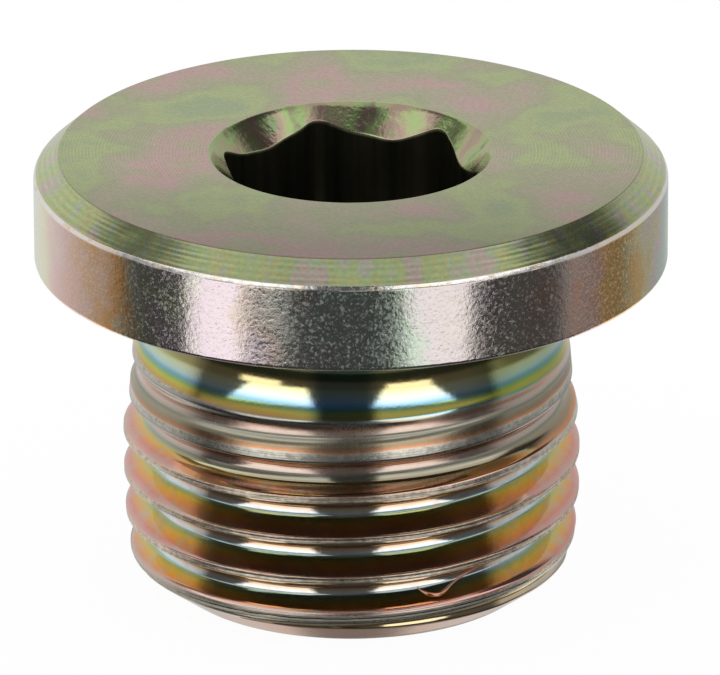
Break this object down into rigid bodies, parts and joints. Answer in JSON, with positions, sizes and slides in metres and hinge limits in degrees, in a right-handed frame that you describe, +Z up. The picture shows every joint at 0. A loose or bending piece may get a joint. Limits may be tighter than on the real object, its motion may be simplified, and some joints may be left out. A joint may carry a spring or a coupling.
{
  "type": "hex socket plug",
  "caption": "Flanged screw plug with a metric fine thread and a hexagon key socket, for closing and sealing a threaded port or oil drain.",
  "frame": {"origin": "centre of the threaded end's flat face, where the plug stands", "axes": "+Z up along the thread axis from the threaded end to the flange, +X towards a corner of the hexagon socket, +Y square to both, towards a flat of the socket"},
  "size_m": [0.022, 0.022, 0.0156],
  "materials": {
    "plated_steel": "bright zinc plate with a thin yellow, slightly iridescent passivation over turned and rolled steel"
  },
  "bodies": {
    "root": {"plug_body": "plated_steel"}
  },
  "joints": []
}
